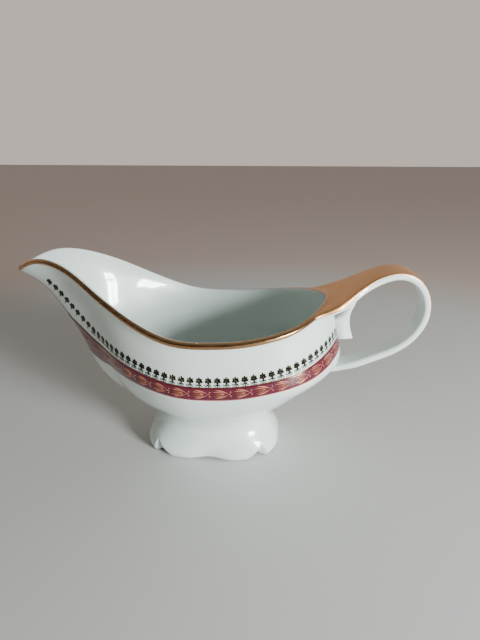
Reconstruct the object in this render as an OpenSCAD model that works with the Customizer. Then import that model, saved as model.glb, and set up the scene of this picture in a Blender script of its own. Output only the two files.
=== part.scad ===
// Footed gravy boat in glazed porcelain with a loop handle, gilding and a printed border.
// Millimetres. +X points to the handle, -X to the spout, +Z up, and the boat is alike on both sides
// of the XZ plane. The origin lies on the standing plane, midway along the overall length.

/* [Bowl] */
// From the foot's centre to the tip of the spout
spout_reach = 116.5; // [97:0.1:140]
// From the foot's centre to the back of the rim
rear_reach = 70.1; // [58:0.1:85]
// Width across the rim at its middle
rim_w = 97.6; // [80:0.1:116]
// Height of the rim at its lowest point
rim_h = 85.4; // [72:0.1:102]
// Height of the crest of the spout
spout_h = 118; // [100:0.5:140]
// Height of the rim at the handle
rear_h = 99.3; // [90:0.1:118]
// Thickness of the bowl's wall
wall = 3.8; // [3:0.1:4.8]
// Thickness of the wall at the pouring lip
lip_wall = 3; // [2.4:0.1:3.6]
// Rise of the rounded edge above the wall
rim_rise = 1.2; // [0.6:0.1:2]

/* [Foot] */
// Height of the foot, up to the bowl
foot_h = 28; // [22:0.1:34]
// Length of the foot's neck under the bowl
neck_l = 69; // [58:0.5:76]
// Width of the foot's neck under the bowl
neck_w = 49; // [41:0.5:56]
// Length of the foot at its toe
foot_l = 83; // [78:0.5:98]
// Width of the foot at its toe
foot_w = 56.8; // [53:0.1:68]
// Thickness of the foot's wall
foot_wall = 4.5; // [3.5:0.1:5.5]
// Depth of the four corner notches
notch_depth = 4.4; // [2:0.1:5.4]
// How far the standing edge lifts at a notch
notch_lift = 2; // [1:0.1:3]
// Depth of the shallow dip in each long panel
panel_dip = 1.2; // [0:0.1:3]
// How far the standing edge lifts in the middle of a long panel
panel_lift = 1.7; // [0:0.1:2.4]

/* [Handle] */
// From the foot's centre to the outermost point of the loop
loop_reach = 125.2; // [118:0.1:145]
// Height of the loop above the standing plane
loop_h = 115.4; // [108:0.1:136]
// Thickness of the strap
strap_t = 4.2; // [3:0.1:5.2]
// Width of the strap along the lower part of the loop
strap_w = 14.6; // [11:0.1:18]
// Half the angle that the strap's root covers on the back of the rim
root_angle = 29; // [24:0.5:34]
// Width of the spur under the strap
spur_w = 6.4; // [4:0.1:9]

/* [Decoration] */
// Thickness of a fired film of gold or enamel
film = 0.25; // [0.15:0.01:0.35]
// Width of the gold line outside the rim
gold_line = 3; // [1.5:0.1:4.5]
// Number of palmettes on each side
palmettes_a_side = 45; // [20:1:48]
// Height of a palmette
palmette_h = 4.4; // [3:0.1:5.2]
// Number of garland leaves on each side
leaves_a_side = 17; // [10:1:19]
// Length of a garland leaf
leaf_l = 8.6; // [6:0.1:9.5]
// Width of the line along each edge of the band
edge_line = 0.8; // [0.5:0.1:1.1]

/* [Hidden] */

slip = 0.25;          // clearance where the handle and the spur are luted to the bowl
film_gap = 0.12;      // clearance between a film and what it lies on
print_gap = 0.24;     // clearance between the leaves and the curved band under them
line_gap = 0.15;      // clearance between the band and the line along its edge
midway = (spout_reach - loop_reach) / 2;
around = 72;          // stations round the bowl and the foot
step = 360 / around;
rim_step = 15;        // angle between two rim stations
porcelain = "#eef1f0";
gold = "#b8865a";
burgundy = "#6e1f33";
salmon = "#d99a7c";

// Rim stations from the handle to the spout: forward or backward reach, half width and rise, each as a share
RIM = [[1.024, 0, 1.058], [0.95, 0.33, 0.878], [0.837, 0.598, 0.647], [0.689, 0.797, 0.396],
       [0.499, 0.916, 0.209], [0.281, 0.984, 0.043], [0.034, 1.002, 0], [-0.137, 1.004, 0],
       [-0.314, 0.895, 0.224], [-0.513, 0.705, 0.62], [-0.685, 0.42, 0.972], [-0.876, 0.305, 1.117],
       [-1.062, 0, 0.592]];
// Profile stations from the neck to the rim: height, and how far out the wall has come at the spout,
// the side and the back, each as a share of the way from the neck to the rim
PROFILE = [[0, 0, 0, 0], [0.06, 0.29, 0.4, 0.235], [0.18, 0.425, 0.675, 0.555], [0.32, 0.515, 0.835, 0.885],
           [0.46, 0.55, 0.985, 1.275], [0.6, 0.625, 0.94, 1.135], [0.76, 0.72, 0.945, 1.105],
           [0.9, 0.81, 0.935, 1.025], [1, 1, 1, 1]];
// Where the band's two edges run on the wall, every 15 degrees from the handle to the spout
BAND_TOP = [0.672, 0.668, 0.642, 0.625, 0.612, 0.6, 0.595, 0.6, 0.588, 0.55, 0.51, 0.53, 0.8];
BAND_FOOT = [0.61, 0.582, 0.553, 0.54, 0.52, 0.49, 0.482, 0.49, 0.473, 0.425, 0.385, 0.37, 0.5];
// The line through the palmettes, as angle and place on the wall
PALMETTE_LINE = [[2, 0.735], [20, 0.725], [38, 0.7], [56, 0.675], [74, 0.66], [92, 0.655], [110, 0.66],
                 [126, 0.64], [140, 0.6], [153, 0.59], [160, 0.64], [164, 0.7], [166.5, 0.77], [168, 0.84],
                 [169, 0.88]];
// Foot profile from the bowl down: height, and spread from the neck to the toe
FOOT = [[1, 0], [0.86, 0.05], [0.66, 0.26], [0.48, 0.62], [0.33, 0.93], [0.2, 1.06], [0.09, 1.02], [0, 0.86]];
// Middle line of the strap: reach, as a share of the way from the back of the rim to the outermost point,
// height as a share of the loop's, half width in strap widths, and how far its edges lag behind and hang
// below its middle where it spreads into the rim
STRAP = [[0.091, 0.855, 1.9, 9.5, 3.4], [0.182, 0.888, 1.5, 5.4, 4], [0.284, 0.924, 1.05, 2.2, 2],
         [0.398, 0.952, 0.86, 0.8, 0.6], [0.534, 0.977, 0.77, 0, 0], [0.659, 0.984, 0.71, 0, 0],
         [0.784, 0.968, 0.64, 0, 0], [0.889, 0.921, 0.58, 0, 0], [0.957, 0.852, 0.53, 0, 0],
         [0.966, 0.775, 0.51, 0, 0], [0.911, 0.697, 0.5, 0, 0], [0.805, 0.631, 0.5, 0, 0],
         [0.664, 0.581, 0.5, 0, 0], [0.505, 0.546, 0.5, 0, 0], [0.33, 0.509, 0.5, 0, 0],
         [0.182, 0.478, 0.5, 0, 0]];
root_t = [0.93, 0.98]; // where the strap's root lies on the back of the bowl, at its inner and outer face
end_t = [0.375, 0.44]; // where the strap's lower end lies on the back of the bowl
// Free edges of the spur, from the bowl up to the strap: share of the way, and bow outwards
SPUR_BACK = [[0.24, 1.1], [0.45, 1.1]];
SPUR_FRONT = [[0.2, -2.4], [0.4, -3.7], [0.52, -3.4], [0.64, -1.9]];
spur_t = [0.66, 0.69, 0.72, 0.75]; // where the spur lies on the back of the bowl
spur_u = [1.1, 1.6, 2.1];          // where it lies under the strap, in strap stations
spur_tip = [8.4, 0.9];             // how far its point stands off the bowl, outwards and up
notch_angle = 35;     // angle of a corner notch from the long axis
notch_span = 9;       // half the angle that a notch takes up
notch_top = 0.64;     // how far down the foot a notch starts

// ---- curves and surfaces ----

// Point of a uniform cubic B-spline whose end points are already repeated
function spline(p, u) =
    let (i = min(floor(u), len(p) - 4), f = u - i)
    ((1 - f) ^ 3 * p[i] + (3 * f ^ 3 - 6 * f ^ 2 + 4) * p[i + 1]
     + (3 * f + 3 * f ^ 2 - 3 * f ^ 3 + 1) * p[i + 2] + f ^ 3 * p[i + 3]) / 6;

function with_ends(p) =
    concat([2 * p[0] - p[1]], p, [2 * p[len(p) - 1] - p[len(p) - 2]]);

// A list of values from the handle to the spout, mirrored to a closed list
function closed_list(p) = [for (k = [-1 : 27]) p[12 - abs(12 - (k + 24) % 24)]];

function unit(v) = v / norm(v);

// Smooth step from 0 to 1
function ease(x) = let (c = min(1, max(0, x))) c * c * (3 - 2 * c);

RIM_LOOP = [for (k = [-1 : 27])
    let (j = (k + 24) % 24, r = RIM[12 - abs(12 - j)], ahead = r.x < 0)
    [r.x * (ahead ? spout_reach : rear_reach),
     (j > 12 ? -1 : 1) * r.y * rim_w / 2,
     rim_h + r.z * ((ahead ? spout_h : rear_h) - rim_h)]];
PROFILE_LINE = with_ends(PROFILE);
FOOT_LINE = with_ends(FOOT);
TOP_LOOP = closed_list(BAND_TOP);
FOOT_LOOP = closed_list(BAND_FOOT);

function turn(a) = ((a % 360) + 360) % 360;

// Outer surface of the bowl at angle a, from the neck (t = 0) to the rim (t = 1), about the foot's axis
function wall_at(a, t) =
    let (r = spline(RIM_LOOP, turn(a) / rim_step),
         p = spline(PROFILE_LINE, t * (len(PROFILE) - 1)),
         back = max(cos(a), 0) ^ 2,
         front = max(-cos(a), 0) ^ 2,
         out = p[1] * front + p[2] * (1 - back - front) + p[3] * back,
         neck = [neck_l / 2 * cos(a), neck_w / 2 * sin(a)])
    [neck.x + (r.x - neck.x) * out, neck.y + (r.y - neck.y) * out, foot_h + (r.z - foot_h) * p[0]];

// Direction up the wall, and the outward normal
function up_wall(a, t) =
    let (d = 0.004, hi = min(1, t + d), lo = max(0, t - d)) unit(wall_at(a, hi) - wall_at(a, lo));
function normal(a, t) = unit(cross(wall_at(a + 0.5, t) - wall_at(a - 0.5, t), up_wall(a, t)));

function wall_here(a, t) = wall - (wall - lip_wall) * max(-cos(a), 0) ^ 2 * t;

// A point off the outer surface, and a point on the inner surface
function outside(a, t, off) = wall_at(a, t) + normal(a, t) * off;
function inside(a, t) = wall_at(a, t) - normal(a, t) * wall_here(a, t);

// How much of t an arc length takes up on the wall at angle a, near the rim
function t_of(a, length) = let (share = 0.1) length * share / norm(wall_at(a, 1) - wall_at(a, 1 - share));

// Where the wall ends and its rounded edge starts, so that the crest comes up to the rim's height
function lip_t(a) = 1 - t_of(a, rim_rise);

// Rounded edge of the rim, from its outer side (0) over the crest (90) to its inner side (180)
function edge(a, way, off) =
    let (t = lip_t(a), n = normal(a, t), half = wall_here(a, t) / 2)
    wall_at(a, t) - n * half + n * (half + off) * cos(way) + up_wall(a, t) * (rim_rise + off) * sin(way);

// Faces that close ring number b of n points: a fan to point c, or a strip across a flat section
function fan(b, n, c) = [for (j = [0 : n - 1]) [c, b + j, b + (j + 1) % n]];
function strip(b, n) = [for (j = [0 : n / 2 - 2])
    each [[b + j, b + j + 1, b + n - 2 - j], [b + j, b + n - 2 - j, b + n - 1 - j]]];
function flipped(faces) = [for (f = faces) [f[0], f[2], f[1]]];

// Closed solid through a list of rings with the same number of points; flat sections end in strips
module skin(rings, closed = false, flat = false) {
    n = len(rings[0]);
    m = len(rings);
    ends = closed || flat ? [] : [mean(rings[0]), mean(rings[m - 1])];
    sides = [for (i = [0 : closed ? m - 1 : m - 2]) for (j = [0 : n - 1])
        let (k = (i + 1) % m, l = (j + 1) % n)
        each [[i * n + j, k * n + l, i * n + l], [i * n + j, k * n + j, k * n + l]]];
    first = flat ? strip(0, n) : fan(0, n, m * n);
    last = flat ? strip((m - 1) * n, n) : fan((m - 1) * n, n, m * n + 1);
    polyhedron(concat([for (r = rings) each r], ends),
               closed ? sides : concat(sides, first, flipped(last)), convexity = 8);
}

function mean(p) = [for (k = [0 : 2]) [for (v = p) v[k]] * [for (v = p) 1] / len(p)];

// ---- bowl and foot ----

angles = [for (j = [0 : around - 1]) j * step];
wall_rows = [0, 0.03, 0.07, 0.12, 0.18, 0.25, 0.32, 0.38, 0.44, 0.5, 0.56, 0.63, 0.7, 0.78, 0.86, 0.93, 1];
edge_rows = [35, 70, 110, 145];
inner_rows = [1, 0.92, 0.84, 0.75, 0.66, 0.57, 0.49, 0.42, 0.34, 0.26, 0.18, 0.11, 0.05];
floor_shares = [0.8, 0.45];

module bowl() color(porcelain) translate([midway, 0, 0]) {
    floor_ring = [for (a = angles) inside(a, inner_rows[len(inner_rows) - 1] * lip_t(a))];
    floor_z = foot_h + wall;
    skin(concat(
        [for (t = wall_rows) [for (a = angles) wall_at(a, t * lip_t(a))]],
        [for (w = edge_rows) [for (a = angles) edge(a, w, 0)]],
        [for (t = inner_rows) [for (a = angles) inside(a, t * lip_t(a))]],
        [for (s = floor_shares)
            [for (p = floor_ring) [p.x * s, p.y * s, floor_z + (p.z - floor_z) * s * s]]]));
}

// Distance from the axis to a superellipse, along angle a
function oval(a, l, w, power) =
    (abs(cos(a) * 2 / l) ^ power + abs(sin(a) * 2 / w) ^ power) ^ (-1 / power);

// How near angle a is to a corner notch and to the middle of a long panel, from 0 to 1
function at_notch(a) = let (q = 90 - abs(90 - turn(a) % 180)) max(0, 1 - abs(q - notch_angle) / notch_span);
function at_panel(a) = let (q = 90 - abs(90 - turn(a) % 180)) ease((q - 60) / 30);

// Foot surface at angle a and row u of its profile, set in from the outside
function foot_at(a, u, inset) =
    let (p = spline(FOOT_LINE, u * (len(FOOT) - 1)),
         low = 1 - p[0],
         neck = oval(a, neck_l, neck_w, 2),
         toe = oval(a, foot_l, foot_w, 3),
         r = neck + (toe - neck) * p[1] - inset
             - notch_depth * at_notch(a) ^ 1.3 * min(1, max(0, (low - notch_top) / (0.98 - notch_top)))
             - panel_dip * at_panel(a) * ease((low - 0.3) / 0.6),
         lift = notch_lift * at_notch(a) + panel_lift * at_panel(a))
    [r * cos(a), r * sin(a), foot_h * p[0] + lift * low ^ 4];

foot_rows = [0, 0.14, 0.28, 0.42, 0.56, 0.7, 0.82, 0.92, 1];
hollow_rows = [1, 0.85, 0.6, 0.3, 0];

module foot() color(porcelain) translate([midway, 0, 0])
    skin(concat(
        [for (k = [len(foot_rows) - 1 : -1 : 0]) [for (a = angles) foot_at(a, foot_rows[k], 0)]],
        [for (k = [len(hollow_rows) - 1 : -1 : 0]) [for (a = angles) foot_at(a, hollow_rows[k], foot_wall)]]),
        closed = true);

// ---- handle ----

STRAP_LINE = with_ends([for (s = STRAP)
    [rear_reach + s[0] * (loop_reach - rear_reach), s[1] * loop_h, s[2] * strap_w, s[3], s[4]]]);
// Round the strap's section: place across (-1 to 1) and place through (-1 inner face, 1 outer face)
face_places = [-0.86, -0.58, -0.29, 0, 0.29, 0.58, 0.86];
brow = 0.35;          // share of the strap's thickness that its side faces keep between the round corners
SECTION = concat([[1, brow]], [for (v = face_places) [-v, 1]], [[-1, brow], [-1, -brow]],
                 [for (v = face_places) [v, -1]], [[1, -brow]]);
strap_steps = 30;

// Point of the strap at u along it: across and through the section, with extra thickness off
function strap_at(u, across, through, off) =
    let (c = spline(STRAP_LINE, u),
         d = spline(STRAP_LINE, min(u + 0.05, len(STRAP) - 1)) - spline(STRAP_LINE, max(u - 0.05, 0)),
         along = unit([d[0], d[1]]),
         n = [-along[1], along[0]],
         out = through * strap_t / 2 + off)
    [c[0] - c[3] * across ^ 2 + n.x * out, across * c[2], c[1] - c[4] * across ^ 2 + n.y * out];

function root_at(across, through, off) =
    outside(across * root_angle, (root_t[0] + root_t[1]) / 2 + through * (root_t[1] - root_t[0]) / 2, off);

end_angle = asin(strap_w / 2 / rear_reach);
function end_at(across, through) =
    outside(across * end_angle, (end_t[0] + end_t[1]) / 2 - through * (end_t[1] - end_t[0]) / 2, slip);

strap_us = [for (k = [0 : strap_steps]) k * (len(STRAP) - 1) / strap_steps];

module handle() color(porcelain) translate([midway, 0, 0])
    skin(concat(
        [[for (s = SECTION) root_at(s[0], s[1], slip)]],
        [for (u = strap_us) if (u < len(STRAP) - 1.4) [for (s = SECTION) strap_at(u, s[0], s[1], 0)]],
        [[for (s = SECTION) end_at(s[0], s[1])]]), flat = true);

// Points between two corners: share of the way, and how far out of the straight line
function bowed(low, high, stations) = [for (s = stations) low + (high - low) * s[0] + [s[1], 0]];

// The spur fills the corner between the strap and the back of the bowl and ends in a point
module handle_spur() color(porcelain) translate([midway, 0, 0]) {
    on_bowl = [for (t = spur_t) let (p = outside(0, t, slip)) [p.x, p.z]];
    on_strap = [for (u = spur_u) let (p = strap_at(u, 0, -1, -slip)) [p.x, p.z]];
    tip = on_bowl[0] + spur_tip;
    front = bowed(tip, on_strap[len(on_strap) - 1], SPUR_FRONT);
    back = bowed(on_bowl[len(on_bowl) - 1], on_strap[0], SPUR_BACK);
    rotate([90, 0, 0])
        linear_extrude(spur_w, center = true)
            polygon(concat(on_bowl, back, on_strap, [for (k = [len(front) - 1 : -1 : 0]) front[k]], [tip]));
}

// ---- decoration ----

// Films of gold round the rim. Places round the edge run from -60, gold_line down the outer side, over
// 0, the wall's outer corner, to 180 on the inner side. At the handle's root the film keeps to the crest.
film_start = -60;
film_root_start = 30;
film_end = 110;
film_steps = 5;
function film_point(a, share, off) =
    let (clear = ease((abs(turn(a + 180) - 180) - root_angle) / 25),
         start = film_start * clear + film_root_start * (1 - clear),
         q = start + (film_end - start) * share)
    q < 0 ? outside(a, lip_t(a) - t_of(a, gold_line) * q / film_start, off) : edge(a, q, off);

module rim_gilding() color(gold) translate([midway, 0, 0])
    skin(concat(
        [for (k = [0 : film_steps]) [for (a = angles) film_point(a, k / film_steps, film_gap + film)]],
        [for (k = [film_steps : -1 : 0]) [for (a = angles) film_point(a, k / film_steps, film_gap)]]),
        closed = true);

gilded_steps = 21;    // strap steps from the root to where the outer face turns under
module handle_gilding() color(gold) translate([midway, 0, 0])
    skin([for (k = [0 : gilded_steps]) concat(
        [for (v = face_places) strap_at(strap_us[k], -v, 1, film_gap + film)],
        [for (v = face_places) strap_at(strap_us[k], v, 1, film_gap)])], flat = true);

// Place on the wall at a share of the way from the band's lower edge to its upper edge
function band_t(a, share) =
    let (u = turn(a) / rim_step, lo = spline(FOOT_LOOP, u)) lo + (spline(TOP_LOOP, u) - lo) * share;

band_w = norm(wall_at(90, band_t(90, 1)) - wall_at(90, band_t(90, 0)));
near = line_gap / band_w;
far = near + edge_line / band_w;

// A film between two shares of the band
module band_film(from, to, rows, off) {
    shares = [for (k = [0 : rows]) from + (to - from) * k / rows];
    skin(concat(
        [for (s = shares) [for (a = angles) outside(a, band_t(a, s), off + film)]],
        [for (k = [rows : -1 : 0]) [for (a = angles) outside(a, band_t(a, shares[k]), off)]]),
        closed = true);
}

module burgundy_band() color(burgundy) translate([midway, 0, 0])
    band_film(0, 1, 3, film_gap);

module band_edge_lines() color(salmon) translate([midway, 0, 0]) {
    band_film(1 + near, 1 + far, 1, film_gap);
    band_film(-far, -near, 1, film_gap);
}

// Point of a line on the wall, as [angle, t], at a share of its stations
function line_at(line, share) = spline(with_ends(line), share * (len(line) - 1));

// Length of such a line up to each of its samples, as [length, share]
line_samples = 90;
function line_lengths(line) =
    [for (k = 0, s = 0, p = wall_at(line[0][0], line[0][1]); k <= line_samples;
          k = k + 1,
          c = line_at(line, min(k / line_samples, 1)),
          q = wall_at(c[0], c[1]),
          s = s + norm(q - p), p = q) [s, k / line_samples]];

// Evenly spaced places along a line on the wall
function places(line, count) =
    let (lengths = line_lengths(line), whole = lengths[line_samples][0])
    [for (k = [0 : count - 1]) line_at(line, lookup((k + 0.5) / count * whole, lengths))];

// A thin leaf-shaped solid laid on the wall: outline points are along and up from its place
module laid(place, ahead, outline, off, side) {
    c = wall_at(place[0], place[1]);
    along = unit(wall_at(ahead[0], ahead[1]) - c);
    over = cross(normal(place[0], place[1]), along);
    da = wall_at(place[0] + 1, place[1]) - c;
    dt = (wall_at(place[0], place[1] + 0.01) - c) * 100;
    det = (da * da) * (dt * dt) - (da * dt) ^ 2;
    spots = [for (p = outline)
        let (v = along * p[0] + over * p[1], va = v * da, vt = v * dt)
        [place[0] + (dt * dt * va - da * dt * vt) / det,
         place[1] + (da * da * vt - da * dt * va) / det]];
    mirror([0, side < 0 ? 1 : 0, 0])
        skin([for (height = [off, off + film]) [for (s = spots) outside(s[0], s[1], height)]]);
}

palmette_outline = [for (p = [[-0.1, -0.5], [0.1, -0.5], [0.16, -0.1], [0.42, 0.05], [0.3, 0.3], [0, 0.5],
                              [-0.3, 0.3], [-0.42, 0.05], [-0.16, -0.1]]) p * palmette_h];
module palmette_border() color(gold) translate([midway, 0, 0])
    for (side = [-1, 1])
        for (p = places(PALMETTE_LINE, palmettes_a_side))
            laid(p, [p[0] + 1, p[1]], palmette_outline, film_gap, side);

// The line through the leaves runs along the middle of the band
garland_line = [for (a = [6 : 12 : 174]) [a, band_t(a, 0.5)]];
leaf_outline = [for (p = [[-0.5, 0], [-0.1, -0.3], [0.3, -0.32], [0.5, -0.1], [0.5, 0.1], [0.3, 0.32],
                          [-0.1, 0.3]]) p * leaf_l];
module band_garland() color(salmon) translate([midway, 0, 0])
    for (side = [-1, 1])
        for (p = places(garland_line, leaves_a_side))
            laid(p, [p[0] + 1, band_t(p[0] + 1, 0.5)], leaf_outline, film_gap + film + print_gap, side);

bowl();
foot();
handle();
handle_spur();
rim_gilding();
handle_gilding();
burgundy_band();
band_garland();
band_edge_lines();
palmette_border();
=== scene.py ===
"""A footed gravy boat in glazed porcelain, with a gilded rim, a gilded strap handle and a printed border.

Shapes are worked out in millimetres about the foot's axis: +X points to the handle, -X to the spout and
+Z up. Angles run in degrees from the handle (0) to the spout (180). Meshes are in metres, in the CAD
model's frame.
"""
import logging
import math
from dataclasses import dataclass, field
from enum import Enum

import bpy
import numpy as np
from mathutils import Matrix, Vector


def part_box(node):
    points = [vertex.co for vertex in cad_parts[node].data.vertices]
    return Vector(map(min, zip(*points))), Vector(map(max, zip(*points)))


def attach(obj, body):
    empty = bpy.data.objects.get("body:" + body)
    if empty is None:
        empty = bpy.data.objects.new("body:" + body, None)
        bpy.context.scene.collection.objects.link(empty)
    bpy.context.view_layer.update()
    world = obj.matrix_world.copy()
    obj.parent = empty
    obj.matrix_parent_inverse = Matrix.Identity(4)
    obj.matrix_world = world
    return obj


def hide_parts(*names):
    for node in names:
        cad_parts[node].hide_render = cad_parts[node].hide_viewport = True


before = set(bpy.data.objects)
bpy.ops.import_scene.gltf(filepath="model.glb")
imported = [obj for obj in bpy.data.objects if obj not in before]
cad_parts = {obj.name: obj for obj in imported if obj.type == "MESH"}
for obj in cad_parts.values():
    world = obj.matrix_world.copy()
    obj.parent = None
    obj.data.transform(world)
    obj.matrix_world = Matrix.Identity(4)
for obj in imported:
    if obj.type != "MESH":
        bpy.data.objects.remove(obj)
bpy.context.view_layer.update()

BODY = "root"
MM = 0.001
Array = np.ndarray

logging.basicConfig(level=logging.INFO, format="%(message)s")
log = logging.getLogger("gravy_boat")


class Slot(Enum):
    """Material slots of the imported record."""

    PORCELAIN = "porcelain"
    GOLD = "gold"
    ENAMEL = "burgundy_enamel"
    PRINT = "salmon_gold"


# ---- curves ----

def unit(v: Array) -> Array:
    """Vectors scaled to length one."""
    return v / np.linalg.norm(v, axis=-1, keepdims=True)


def ease(x: Array) -> Array:
    """Smooth step from 0 to 1."""
    c = np.clip(x, 0, 1)
    return c * c * (3 - 2 * c)


def spline(points: Array, place: Array, closed: bool = False) -> Array:
    """Points of a uniform cubic B-spline.

    Args:
        points: control points, one a row.
        place: places along the spline, in control points.
        closed: whether the last point leads back to the first.

    Returns:
        One point for each place.
    """
    points = np.asarray(points, float)
    place = np.asarray(place, float)
    count = len(points)
    if closed:
        first = np.floor(place).astype(int)
        p = [points[(first + k) % count] for k in (-1, 0, 1, 2)]
    else:
        points = np.vstack([2 * points[0] - points[1], points, 2 * points[-1] - points[-2]])
        first = np.clip(np.floor(place).astype(int), 0, count - 2)
        p = [points[first + k] for k in range(4)]
    f = (place - first)[..., None]
    return ((1 - f) ** 3 * p[0] + (3 * f ** 3 - 6 * f ** 2 + 4) * p[1]
            + (3 * f + 3 * f ** 2 - 3 * f ** 3 + 1) * p[2] + f ** 3 * p[3]) / 6


def hermite(start: Array, leave: Array, end: Array, arrive: Array, share: Array) -> Array:
    """Rows of points on cubic curves between two rings.

    Args:
        start: points where the curves start.
        leave: their directions there, with length.
        end: points where the curves end.
        arrive: their directions there, with length.
        share: places along the curves, from 0 to 1.

    Returns:
        One row of points for each share.
    """
    s = np.asarray(share, float)[:, None, None]
    return ((2 * s ** 3 - 3 * s ** 2 + 1) * start + (s ** 3 - 2 * s ** 2 + s) * leave
            + (3 * s ** 2 - 2 * s ** 3) * end + (s ** 3 - s ** 2) * arrive)


def both_sides(stations: list) -> Array:
    """Stations from the handle to the spout, followed by the same ones back to the handle."""
    last = len(stations) - 1
    return np.array([stations[last - abs(last - k)] for k in range(2 * last)], float)


# ---- meshes ----

def skin_faces(rows: int, columns: int, closed: bool) -> list:
    """Quads over a tube of rings.

    Args:
        rows: number of rings.
        columns: number of points in a ring.
        closed: whether the last ring joins the first.

    Returns:
        A list of four point numbers for each face, ring by ring.
    """
    i = np.arange(rows if closed else rows - 1)[:, None]
    j = np.arange(columns)[None, :]
    k, m = (i + 1) % rows, (j + 1) % columns
    quads = np.stack([i * columns + j, k * columns + j, k * columns + m, i * columns + m], axis=-1)
    return quads.reshape(-1, 4).tolist()


def enclosed(points: Array, faces: list) -> float:
    """Volume inside a closed mesh, below zero where its faces look inwards."""
    total = 0.0
    for size in {len(f) for f in faces}:
        group = points[np.array([f for f in faces if len(f) == size])]
        for k in range(1, size - 1):
            total += np.einsum("ij,ij->", group[:, 0], np.cross(group[:, k], group[:, k + 1]))
    return total / 6


def add_piece(name: str, points: Array, faces: list, centre_x: float, materials: list,
              face_materials: Array = None) -> bpy.types.Object:
    """Makes a smooth closed mesh object whose faces look outwards.

    Args:
        name: the piece's name.
        points: its points, in millimetres about the foot's axis.
        faces: point numbers of each face.
        centre_x: where the foot's axis stands along X, in metres.
        materials: the materials of its slots.
        face_materials: slot number of each face, or None for the first.

    Returns:
        The new object.
    """
    points = np.asarray(points, float).reshape(-1, 3)
    if enclosed(points, faces) < 0:
        faces = [f[::-1] for f in faces]
    mesh = bpy.data.meshes.new(name)
    mesh.from_pydata((points * MM + np.array([centre_x, 0, 0])).tolist(), [], faces)
    for material in materials:
        mesh.materials.append(material)
    if face_materials is not None:
        mesh.polygons.foreach_set("material_index", np.asarray(face_materials, np.int32))
    mesh.polygons.foreach_set("use_smooth", np.ones(len(mesh.polygons), bool))
    mesh.update()
    piece = bpy.data.objects.new(name, mesh)
    bpy.context.scene.collection.objects.link(piece)
    return piece


def capped(grid: Array, facing: int = None) -> tuple:
    """Closes a tube of rings at both ends.

    Args:
        grid: rings of points, one a row.
        facing: for flat rings, the sum of any two point numbers that face each other across the ring; each
            end is then closed by a strip, and otherwise by a fan.

    Returns:
        The points and the faces, sides first.
    """
    rows, columns = grid.shape[:2]
    points = grid.reshape(-1, 3)
    faces = skin_faces(rows, columns, False)
    last = (rows - 1) * columns
    if facing is None:
        points = np.vstack([points, grid[0].mean(0), grid[-1].mean(0)])
        for j in range(columns):
            k = (j + 1) % columns
            faces.append([rows * columns, j, k])
            faces.append([rows * columns + 1, last + k, last + j])
        return points, faces
    for j in range(facing // 2, facing // 2 + columns // 2):
        strip = list(dict.fromkeys(k % columns for k in (j, j + 1, facing - j - 1, facing - j)))
        if len(strip) > 2:
            faces.append(strip)
            faces.append([last + k for k in strip[::-1]])
    return points, faces


def normals_of(grid: Array) -> Array:
    """Unit normals of a tube of rings, one for each point."""
    along = np.gradient(grid, axis=0)
    around = (np.roll(grid, -1, axis=1) - np.roll(grid, 1, axis=1)) / 2
    return unit(np.cross(along, around))


# ---- the bowl's form ----

# Rim stations from the handle to the spout: forward or backward reach, half width and rise, each as a share
RIM = [(1.024, 0, 1.058), (0.95, 0.33, 0.878), (0.837, 0.598, 0.647), (0.689, 0.797, 0.396),
       (0.499, 0.916, 0.209), (0.281, 0.984, 0.043), (0.034, 1.002, 0), (-0.137, 1.004, 0),
       (-0.314, 0.895, 0.224), (-0.513, 0.705, 0.62), (-0.685, 0.42, 0.972), (-0.876, 0.305, 1.117),
       (-1.062, 0, 0.592)]
# Profile stations from the neck to the rim: height, and how far out the wall has come at the spout,
# the side and the back, each as a share of the way from the neck to the rim
PROFILE = [(0, 0, 0, 0), (0.06, 0.29, 0.4, 0.235), (0.18, 0.425, 0.675, 0.555), (0.32, 0.515, 0.835, 0.885),
           (0.46, 0.55, 0.985, 1.275), (0.6, 0.625, 0.94, 1.135), (0.76, 0.72, 0.945, 1.105),
           (0.9, 0.81, 0.935, 1.025), (1, 1, 1, 1)]
# Upper and lower edge of the band on the wall, from the handle to the spout
BAND = [(0.672, 0.61), (0.668, 0.582), (0.642, 0.553), (0.625, 0.54), (0.612, 0.52), (0.6, 0.49),
        (0.595, 0.482), (0.6, 0.49), (0.588, 0.473), (0.55, 0.425), (0.51, 0.385), (0.53, 0.37), (0.8, 0.5)]
# The line through the palmettes, as angle and place on the wall
PALMETTE_LINE = [(2, 0.735), (20, 0.725), (38, 0.7), (56, 0.675), (74, 0.66), (92, 0.655), (110, 0.66),
                 (126, 0.64), (140, 0.6), (153, 0.59), (160, 0.64), (164, 0.7), (166.5, 0.77), (168, 0.84),
                 (169, 0.88)]
# The line that runs up each side of the keel from the band to the tip of the spout
SPOUT_LINE = [(172, 0.66), (174, 0.74), (175.5, 0.82), (177, 0.9), (178.2, 0.96)]
RIM_STEP = 15.0


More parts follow.
